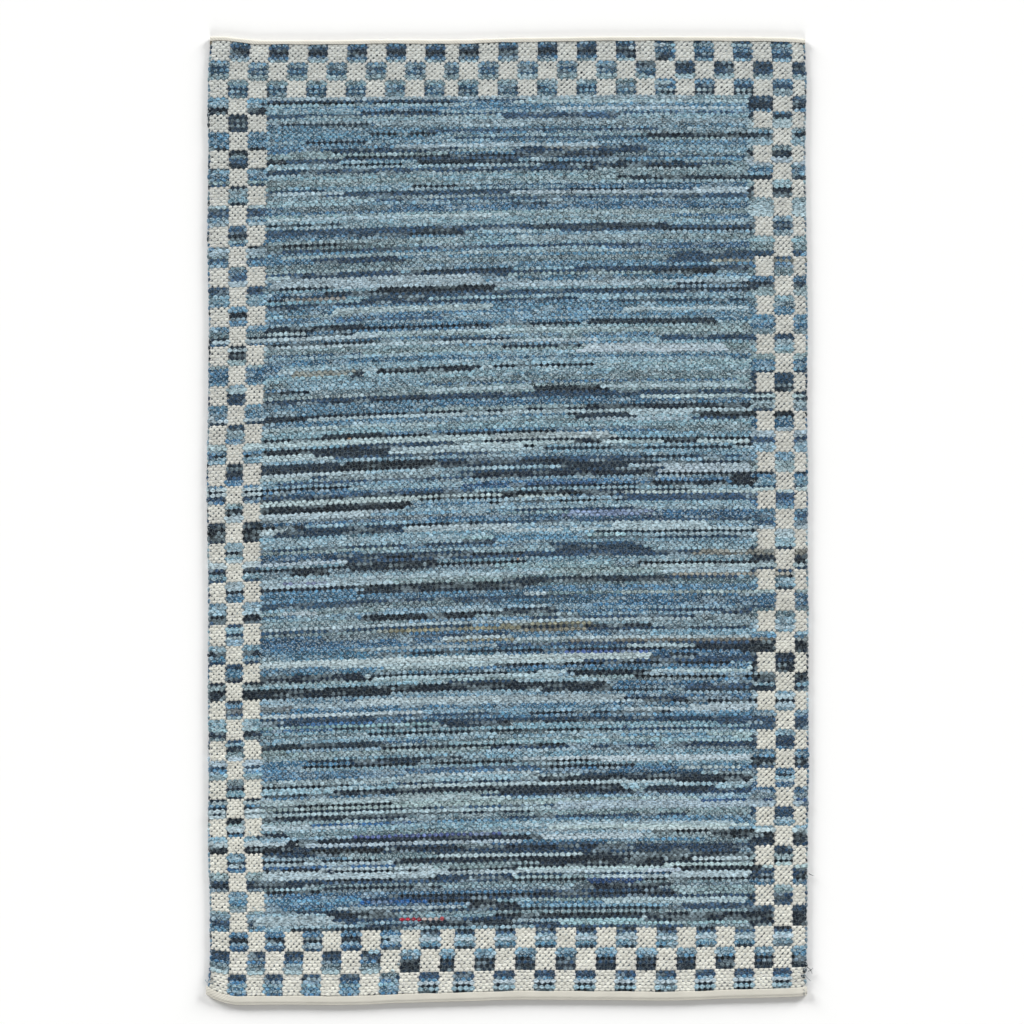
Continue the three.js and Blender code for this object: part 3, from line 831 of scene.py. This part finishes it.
def makeGround():  # a closed slab: columns at the check edges, rows at every pick
    stations = columnStarts / weave["warps"]
    rows = np.arange(weave["picks"] + 1)
    lineY = pickLine(rows[:, None], np.repeat(flatX(stations)[None, :], len(rows), axis=0))
    gridX = across(stations[None, :], lineY, inset=groundForm["inset"])
    gridY = pickLine(rows[:, None], gridX)
    low = np.zeros_like(gridX)
    high = np.full_like(gridX, groundForm["top"])
    for node, inward, edgeRow in (("binding_bottom", 1, 0), ("binding_top", -1, -1)):
        xs, fold, _, _ = tapeShapes[node]
        x = gridX[edgeRow]
        foldY = np.interp(x, xs, fold)
        for reach, (zLow, zHigh) in groundForm["inTape"]:
            extraX, extraY = x[None], (foldY + inward * reach)[None]
            extraLow, extraHigh = np.full_like(extraX, zLow), np.full_like(extraX, zHigh)
            pairs = ((extraX, gridX), (extraY, gridY), (extraLow, low), (extraHigh, high))
            gridX, gridY, low, high = (np.concatenate(pair[::inward]) for pair in pairs)
    down, wide = gridX.shape
    topPoints = np.stack((gridX, gridY, high), axis=-1).reshape(-1, 3)
    lowPoints = np.stack((gridX, gridY, low), axis=-1).reshape(-1, 3)
    index = np.arange(down * wide).reshape(down, wide)
    topFaces = np.stack((index[:-1, :-1], index[:-1, 1:], index[1:, 1:], index[1:, :-1]), axis=-1)
    topFaces = topFaces.reshape(-1, 4)
    lowFaces = topFaces[:, ::-1] + down * wide
    rim = np.concatenate((index[0, :-1], index[:-1, -1], index[-1, :0:-1], index[:0:-1, 0]))
    after = np.roll(rim, -1)
    rimFaces = np.stack((rim + down * wide, after + down * wide, after, rim), axis=-1)
    faces = np.concatenate((topFaces, lowFaces, rimFaces))
    material = weftMaterial("packed_weft", groundCloth)
    piece = pieceFromArrays("woven_ground", np.concatenate((topPoints, lowPoints)), faces.ravel(),
                            np.full(len(faces), 4), material)
    # the weft's colours, whole underneath; on top, painted shade in the crevices: the paler of a cell and its
    # neighbours, darkened, and under the checks a darker ivory
    pickOf = np.clip(np.arange(down - 1) - len(groundForm["inTape"]), 0, weave["picks"] - 1)
    warpOf = np.clip((stations[:-1] * weave["warps"] + 1).astype(int), 0, weave["warps"] - 1)
    cellColour = colourOf[pickOf][:, warpOf]
    cellIvory = ivory[pickOf][:, warpOf]
    underneath = np.where(cellIvory[..., None], linear(groundForm["ivoryBackHex"]), cellColour)
    beside = (np.roll(cellColour, 1, axis=0) + np.roll(cellColour, -1, axis=0)) / 2
    shaded = np.maximum(cellColour, beside) * groundForm["shade"]
    crevice = np.where(cellIvory[..., None], linear(groundForm["ivoryShadedTopHex"]), shaded)
    atRim = np.tile(linear(groundForm["rimHex"]), (len(rimFaces), 1))
    faceColour = np.concatenate((crevice.reshape(-1, 3), underneath.reshape(-1, 3), atRim))
    attribute = piece.data.attributes.new("dyeAndShade", "FLOAT_COLOR", "CORNER")
    filled = np.concatenate((faceColour, np.ones((len(faceColour), 1))), axis=1).repeat(4, axis=0)
    attribute.data.foreach_set("color", np.ascontiguousarray(filled, dtype=np.float32).ravel())
    return piece


ground = makeGround()

print("tapes")
# cotton twill tape, folded over the cut ends: unbleached and matt, painted darker brown from mid-height down,
# partly grime and partly painted shade under the fold, with a diagonal rib drawn at 2.2 mm, coarser than a
# real one, so that it shows
tapeCloth = {"hex": "d0cdc2", "grimeAndShadeHex": "6f6756", "grimeAndShade": (1.0, 5.0), "roughness": 0.95, "sheen": 0.03,
             "rib": 2.2, "fibre": 1.6, "patch": 24.0, "bump": 0.5, "relief": 0.3, "reliefSpan": (0.3, 1.6),
             "grain": (0.84, 1.1), "patchSpan": (0.3, 0.7), "soil": (0.94, 1.04)}
waveLength = 0.314  # of the wave texture's bands at a scale of 1
tapeForm = {
    "thick": 1.0,
    "step": 6.0,  # mm between the sections along the tape
    "acrossTop": 7,
    "aroundFold": 8,
    "acrossUnder": 4,
    "edgeWave": 0.3,
    "waves": ((13.0, 1.0), (5.3, 0.6)),  # how long and how strong
    "pucker": 0.12,
    "puckerReach": 3.0,
    "stitchPitch": 9.0,
    "softEdge": 0.28,
    "softFrom": 60,  # degrees between two faces
}
# soft creases: x in mm, how far it reaches along the tape, how deep, and its slant
tapeCreases = {
    "binding_bottom": ((-431, 7, 0.9, 0.8), (-318, 9, 0.4, -0.5), (-96, 8, 0.5, 0.7), (104, 10, 0.4, -0.4),
                       (293, 6, 0.8, 0.6), (311, 7, 0.7, 0.5), (441, 6, 0.8, -0.7)),
    "binding_top": ((-436, 6, 0.6, 0.5), (-250, 9, 0.4, -0.6), (38, 9, 0.3, 0.5), (269, 8, 0.5, 0.4),
                    (430, 7, 0.5, -0.6)),
}


def tapeMaterial(facts):
    material, tree, shader = startMaterial("cotton_twill_tape", facts["roughness"], facts["sheen"])
    flat = addNode(tree, "ShaderNodeUVMap", {"uv_map": "tapeFlat"})
    rib = addNode(tree, "ShaderNodeTexWave", {"Scale": waveLength / facts["rib"], "Distortion": 0.6,
                                              "Detail": 1.0, "bands_direction": "DIAGONAL"},
                  {"Vector": flat.outputs[0]})
    fibre = addNode(tree, "ShaderNodeTexNoise", {"Scale": 1 / facts["fibre"], "Detail": 2.0},
                    {"Vector": flat.outputs[0]})
    patch = addNode(tree, "ShaderNodeTexNoise", {"Scale": 1 / facts["patch"], "Detail": 2.0},
                    {"Vector": flat.outputs[0]})
    relief = addNode(tree, "ShaderNodeMath", {"operation": "ADD"},
                     {0: rib.outputs["Fac"], 1: fibre.outputs[0]})
    grain = addNode(tree, "ShaderNodeMapRange", spans(facts["reliefSpan"], facts["grain"]),
                    {"Value": relief.outputs[0]})
    soil = addNode(tree, "ShaderNodeMapRange", spans(facts["patchSpan"], facts["soil"]),
                   {"Value": patch.outputs[0]})
    amount = addNode(tree, "ShaderNodeMath", {"operation": "MULTIPLY"},
                     {0: grain.outputs[0], 1: soil.outputs[0]})
    dyeAndShade = addNode(tree, "ShaderNodeAttribute", {"attribute_name": "dyeAndShade"})
    colour = addNode(tree, "ShaderNodeVectorMath", {"operation": "SCALE"},
                     {0: dyeAndShade.outputs["Color"], "Scale": amount.outputs[0]})
    bump = addNode(tree, "ShaderNodeBump", {"Strength": facts["bump"], "Distance": facts["relief"] * mm},
                   {"Height": relief.outputs[0]})
    tree.links.new(colour.outputs[0], shader.inputs["Base Color"])
    tree.links.new(bump.outputs[0], shader.inputs["Normal"])
    return material


def tapeSection(node, x):  # y, z and the distance from the inner edge along the folded tape's mid-line at x
    xs, foldLine, topLine, underLine = tapeShapes[node]
    inward = 1 if node == "binding_bottom" else -1
    fold, top, under = (np.interp(x, xs, line) for line in (foldLine, topLine, underLine))
    half = weave["thickness"] / 2
    radius = half - tapeForm["thick"] / 2
    wave = sum(strength * np.sin(x / length) for length, strength in tapeForm["waves"])
    top = top + inward * tapeForm["edgeWave"] * wave
    turnY = fold + inward * half
    angles = np.radians(np.linspace(90, 270, tapeForm["aroundFold"] + 1))[1:-1]
    y = np.concatenate((np.linspace(top, turnY, tapeForm["acrossTop"]),
                        turnY + inward * radius * np.cos(angles),
                        np.linspace(turnY, under, tapeForm["acrossUnder"])))
    z = np.concatenate((np.full(tapeForm["acrossTop"], half + radius), half + radius * np.sin(angles),
                        np.full(tapeForm["acrossUnder"], half - radius)))
    reach = np.concatenate(([0], np.cumsum(np.hypot(np.diff(y), np.diff(z)))))
    onTop = np.clip((z - half) / radius, 0, 1)
    for middle, spread, depth, slant in tapeCreases[node]:
        z = z - onTop * depth * np.exp(-((x - middle - slant * reach) / spread) ** 2)
    nearEdge = np.exp(-reach / tapeForm["puckerReach"])
    z = z - nearEdge * tapeForm["pucker"] * (1 + np.cos(2 * np.pi * x / tapeForm["stitchPitch"]))
    return y, z, reach


def makeTape(node, material):
    xs = tapeShapes[node][0]
    stations = np.linspace(xs[0], xs[-1], int((xs[-1] - xs[0]) / tapeForm["step"]) + 1)
    sections = [tapeSection(node, x) for x in stations]
    wide = len(sections[0][0])
    bpy.ops.object.select_all(action="DESELECT")
    bpy.ops.mesh.primitive_grid_add(x_subdivisions=wide - 1, y_subdivisions=len(stations) - 1, size=1)
    tape = bpy.context.object
    tape.name = node.replace("binding", "twill_tape")
    flat = tape.data.uv_layers.active
    flat.name = "tapeFlat"
    grid = [(index % wide, index // wide) for index in range(len(tape.data.vertices))]
    for corner, (column, row) in zip(tape.data.vertices, grid):
        y, z, reach = sections[row]
        corner.co = Vector((stations[row], y[column], z[column])) * mm
    for loop, place in zip(tape.data.loops, flat.uv):
        column, row = grid[loop.vertex_index]
        place.vector = (stations[row], sections[row][2][column])
    if node == "binding_top":
        bpy.ops.object.mode_set(mode="EDIT")
        bpy.ops.mesh.select_all(action="SELECT")
        bpy.ops.mesh.flip_normals()
        bpy.ops.object.mode_set(mode="OBJECT")
    cloth = tape.modifiers.new("cloth", "SOLIDIFY")
    cloth.thickness = tapeForm["thick"] * mm
    cloth.offset = 0
    softEdge = tape.modifiers.new("soft_edge", "BEVEL")
    softEdge.width = tapeForm["softEdge"] * mm
    softEdge.segments = 1
    softEdge.angle_limit = math.radians(tapeForm["softFrom"])
    bpy.ops.object.modifier_apply(modifier="cloth")
    bpy.ops.object.modifier_apply(modifier="soft_edge")
    bpy.ops.object.shade_smooth()
    # from mid-height down the tape is painted toward a dark brown: partly grime, partly painted shade under
    # the fold and beneath the tape
    heights = np.array([corner.co.z for corner in tape.data.vertices]) / mm
    grimeAndShadeShare = np.interp(heights, tapeCloth["grimeAndShade"], (1, 0))[:, None]
    clean, grimeAndShade = linear(tapeCloth["hex"]), linear(tapeCloth["grimeAndShadeHex"])
    paint(tape, clean + (grimeAndShade - clean) * grimeAndShadeShare)
    tape.data.materials.append(material)
    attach(tape, ridesOn)
    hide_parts(node)
    return tape


cottonTape = tapeMaterial(tapeCloth)
tapes = [makeTape(node, cottonTape) for node in tapeShapes]

print("selvedge turns, strip ends and loose threads")


def modelTurn():  # a rounded loop of weft, one across, closed all round
    bpy.ops.object.select_all(action="DESELECT")
    bpy.ops.mesh.primitive_uv_sphere_add(segments=8, ring_count=5, radius=1, location=(0, 0, 0))
    return takeShape(bpy.context.object)


turnShape = modelTurn()
# a turn of weft at a selvedge, in mm; "pickAt" is where its picks' place along the rug is read, and "shade"
# darkens its colour as painted shade on the rug's sides
turnForm = {"out": 3.0, "along": 4.7, "up": 3.2, "inset": 3.1, "height": 3.9, "shade": 0.72, "pickAt": 455.0}
turnJitter = {"inset": 0.35, "y": 0.4, "turn": 0.13, "out": 0.08, "along": 0.07, "height": 0.12}
oneTone = {"shade": 1.0, "edge": 0.0}  # as light at its foot as on top


def weaveSelvedge(side):  # each weft turns back round the last warp, so a turn is two picks tall
    rows = np.arange(0, weave["picks"] - 1, 2) + (1 if side > 0 else 0)
    y = pickLine(rows + 1.0, np.full(len(rows), side * turnForm["pickAt"]))
    edge = np.interp(y, *(leftEdge if side < 0 else rightEdge))
    count = len(rows)
    column = 0 if side < 0 else weave["warps"] - 1
    places = {
        "x": edge - side * (turnForm["inset"] + chance.normal(0, turnJitter["inset"], count)),
        "y": y + chance.normal(0, turnJitter["y"], count),
        "turn": chance.normal(0, turnJitter["turn"], count),
        "length": turnForm["out"] * chance.normal(1, turnJitter["out"], count),
        "width": turnForm["along"] * chance.normal(1, turnJitter["along"], count),
        "foot": turnForm["height"] + chance.normal(0, turnJitter["height"], count),
        "leanX": np.zeros(count),
        "leanY": np.zeros(count),
        # the strip's colour, painted darker as painted shade on the rug's sides
        "colour": colourOf[rows, column] * turnForm["shade"],
        **oneTone,
    }
    places["top"] = places["foot"] + turnForm["up"]
    name = "selvedge_turns_" + ("left" if side < 0 else "right")
    return repeatLump(name, turnShape, places, selvedgeDenim)


selvedgeDenim = weftMaterial("denim_selvedge", denimCloth)
selvedges = [weaveSelvedge(-1), weaveSelvedge(1)]

# ends of strips that stand up as a small knot: photo x and y, half length and width in mm, degrees turned, hex
knots = (
    (280, 164, 5.2, 3.2, 20, "1b2532"), (331, 871, 6.0, 3.8, -25, "22354b"),
    (625, 727, 4.2, 2.8, 30, "2b3f57"), (650, 517, 4.6, 2.4, 5, "22304a"),
    (661, 520, 3.8, 2.2, -20, "27395a"), (349, 440, 3.4, 1.8, 10, "9a7f62"),
    (241, 867, 4.4, 2.6, 60, "26323c"), (297, 845, 4.8, 3.0, -35, "1c242e"),
    (805, 872, 3.6, 2.6, 70, "30363c"), (804, 969, 5.0, 3.4, 60, "3b3f43"),
    (802, 975, 3.8, 2.6, -30, "2b2f35"), (518, 560, 2.4, 1.7, 70, "9a7d68"),
)
# threads that have worked loose: photo x and y of the root, heading in degrees, mm long, degrees curled, hex
looseThreads = (
    (210, 967, -60, 22, -70, "2c4a6c"), (212, 972, -110, 17, 40, "25384e"), (213, 976, -95, 13, 25, "1c2733"),
    (206, 978, -70, 10, 60, "8ea0aa"), (238, 853, -50, 15, 10, "1d2731"), (235, 850, -48, 9, -15, "2a3a4a"),
    (806, 966, -20, 13, -60, "34383c"), (807, 970, 15, 11, 50, "2b2f34"), (804, 974, -55, 12, 30, "3a3e42"),
    (808, 873, -35, 9, 40, "30343a"), (806, 992, 120, 12, 40, "2a3440"), (803, 994, 95, 10, -30, "22303f"),
    (655, 518, 15, 12, 40, "24365c"), (646, 516, 170, 11, -35, "2a3f66"), (281, 166, -60, 9, 30, "1b2532"),
    (331, 873, -15, 8, 20, "22354b"), (286, 880, 45, 9, 0, "53687a"), (319, 919, -35, 8, 20, "1b2a3c"),
)
# the others, at random places where one strip ends and the next begins, in mm and degrees
strayKnots = {"count": 70, "halfLength": (2.4, 4.4), "halfWidth": (1.7, 2.7), "turn": 0.5, "shade": 0.85,
              "foot": (6.9, 7.3), "upPerWidth": 0.5, "up": (0.8, 1.5), "fromSelvedge": 8}  # the last in warps
strayThreads = {"count": 150, "length": (3.0, 8.5), "curl": 50, "tone": (0.55, 1.5), "radius": 0.55,
                "taper": 0.6, "lies": 7.0, "arch": 1.3, "archesOver": 1.1, "hangs": 5.0, "hangsWithin": 8,
                "edge": 457, "sides": 5, "steps": 8, "pathSteps": 32}


def strayPlaces(count):
    margin = strayKnots["fromSelvedge"]
    rows, columns = np.nonzero(washOf[:, margin:-margin] != washOf[:, margin + 1:1 - margin])
    picked = chance.choice(len(rows), count, replace=False)
    rows, columns = rows[picked], columns[picked] + margin
    return (*cellMiddle(columns, rows), colourOf[rows, columns])


def makeKnots():
    count = strayKnots["count"]
    x, y, colours = strayPlaces(count)
    charted = [photoPlace(knot[0], knot[1]) for knot in knots]
    total = count + len(knots)
    lengths = chance.uniform(*strayKnots["halfLength"], count)
    widths = chance.uniform(*strayKnots["halfWidth"], count)
    places = {
        "x": np.concatenate((x, [place[0] for place in charted])),
        "y": np.concatenate((y, [place[1] for place in charted])),
        "length": np.concatenate((lengths, [knot[2] for knot in knots])),
        "width": np.concatenate((widths, [knot[3] for knot in knots])),
        "turn": np.concatenate((chance.normal(0, strayKnots["turn"], count),
                                np.radians([knot[4] for knot in knots]))),
        "colour": np.concatenate((colours * strayKnots["shade"], [linear(knot[5]) for knot in knots])),
        "foot": chance.uniform(*strayKnots["foot"], total),
        "leanX": np.zeros(total),
        "leanY": np.zeros(total),
        **oneTone,
    }
    places["top"] = places["foot"] + np.clip(places["width"] * strayKnots["upPerWidth"], *strayKnots["up"])
    return repeatLump("strip_ends", turnShape, places, selvedgeDenim)


def modelThread():  # a straight thread of radius 1, from z 0 to 1
    bpy.ops.object.select_all(action="DESELECT")
    bpy.ops.mesh.primitive_circle_add(vertices=strayThreads["sides"], radius=1, fill_type="NGON")
    bpy.ops.object.mode_set(mode="EDIT")
    bpy.ops.mesh.select_all(action="SELECT")
    for _ in range(strayThreads["steps"]):
        bpy.ops.mesh.extrude_region_move(TRANSFORM_OT_translate={"value": (0, 0, 1 / strayThreads["steps"])})
    bpy.ops.mesh.select_all(action="SELECT")
    bpy.ops.mesh.normals_make_consistent(inside=False)
    bpy.ops.object.mode_set(mode="OBJECT")
    return takeShape(bpy.context.object)


def bendThread(points, root, heading, length, curl):  # the straight thread's points, curled up from its root
    along = points[:, 2]
    stations = np.linspace(0, 1, strayThreads["pathSteps"] + 1)
    headings = np.radians(heading) + np.radians(curl) * stations[1:]
    pathX = np.concatenate(([0], np.cumsum(np.cos(headings)))) / strayThreads["pathSteps"] * length
    pathY = np.concatenate(([0], np.cumsum(np.sin(headings)))) / strayThreads["pathSteps"] * length
    x = root[0] + np.interp(along, stations, pathX)
    y = root[1] + np.interp(along, stations, pathY)
    arch = strayThreads["arch"] * np.sin(np.pi * np.clip(along * strayThreads["archesOver"], 0, 1))
    past = 1 - np.clip((strayThreads["edge"] - np.abs(x)) / strayThreads["hangsWithin"], 0, 1)
    z = strayThreads["lies"] + arch - past * strayThreads["hangs"] * along
    bend = np.radians(heading) + np.radians(curl) * along
    radius = strayThreads["radius"] * (1 - strayThreads["taper"] * along ** 2)
    x = x - points[:, 0] * radius * np.sin(bend)
    y = y + points[:, 0] * radius * np.cos(bend)
    return np.stack((x, y, z + points[:, 1] * radius), axis=-1)


def makeThreads():
    shape = modelThread()
    points = shape["points"]
    count = strayThreads["count"]
    x, y, colours = strayPlaces(count)
    lengths = chance.uniform(*strayThreads["length"], count)
    headings = chance.uniform(0, 360, count)
    curls = chance.normal(0, strayThreads["curl"], count)
    tones = chance.uniform(*strayThreads["tone"], (count, 1))
    strays = zip(zip(x, y), headings, lengths, curls, colours * tones)
    charted = [(photoPlace(px, py), heading, length, curl, linear(hexColour))
               for px, py, heading, length, curl, hexColour in looseThreads]
    allPoints = []
    allColours = []
    for root, heading, length, curl, colour in [*charted, *strays]:
        allPoints.append(bendThread(points, root, heading, length, curl))
        allColours.append(np.tile(colour, (len(points), 1)))
    total = len(allPoints)
    corners = (shape["corners"][None] + np.arange(total)[:, None] * len(points)).ravel()
    threads = pieceFromArrays("loose_threads", np.concatenate(allPoints), corners,
                              np.tile(shape["sizes"], total), selvedgeDenim)
    paint(threads, np.concatenate(allColours))
    return threads


looseEnds = [makeKnots(), makeThreads()]

print("floor, light and camera")
bpy.ops.object.select_all(action="DESELECT")
studio = {"size": 24, "hex": "f7f7f6", "roughness": 0.9}  # matt white paper, in metres
bpy.ops.mesh.primitive_plane_add(size=studio["size"], location=(0, 0, 0))
floor = bpy.context.object
floor.name = "studio_floor"
floorMaterial, _, floorShader = startMaterial("matt_studio_paper", studio["roughness"], 0.0)
floorShader.inputs["Base Color"].default_value = (*linear(studio["hex"]), 1)
floor.data.materials.append(floorMaterial)

# an even sky and three wide lamps: azimuth from the far end, height and width in degrees, and the light that
# each lays on the floor
lighting = {
    "sky": 0.15,
    "lamps": {
        "far_left": (-46, 18, 28, 0.355),
        "far_right": (46, 18, 28, 0.355),
        "near": (180, 21, 26, 0.22),
    },
}


def lightScene():
    world = bpy.data.worlds.new("studio")
    bpy.context.scene.world = world
    world.use_nodes = True
    world.node_tree.nodes["Background"].inputs["Color"].default_value = (1, 1, 1, 1)
    world.node_tree.nodes["Background"].inputs["Strength"].default_value = lighting["sky"]
    for name, (azimuth, height, softness, share) in lighting["lamps"].items():
        lamp = bpy.data.lights.new(name, "SUN")
        lamp.angle = math.radians(softness)
        lamp.energy = share * math.pi / math.sin(math.radians(height))
        holder = bpy.data.objects.new(name, lamp)
        toward = Vector((math.sin(math.radians(azimuth)), math.cos(math.radians(azimuth)), 0))
        toward = toward * math.cos(math.radians(height)) + Vector((0, 0, math.sin(math.radians(height))))
        holder.location = toward * 4
        holder.rotation_euler = toward.to_track_quat("Z", "Y").to_euler()
        bpy.context.scene.collection.objects.link(holder)
    bpy.context.scene.view_settings.view_transform = "Standard"


lightScene()

# a long lens from high up, tipped toward the near end, as the photograph was taken
view = {"elevation": 74.2, "distance": 60.0, "aim": (0.0069, 0.0111, 0.004), "widthAtAim": 1.5599}


def placeCamera():
    camera = bpy.data.cameras.new("camera")
    camera.lens = camera.sensor_width * view["distance"] / view["widthAtAim"]
    camera.clip_end = view["distance"] * 2
    holder = bpy.data.objects.new("camera", camera)
    up = math.radians(view["elevation"])
    back = Vector((0, -math.cos(up), math.sin(up)))
    holder.location = Vector(view["aim"]) + back * view["distance"]
    holder.rotation_euler = (-back).to_track_quat("-Z", "Y").to_euler()
    bpy.context.scene.collection.objects.link(holder)
    bpy.context.scene.camera = holder


placeCamera()

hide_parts("rug_body")

print("done")
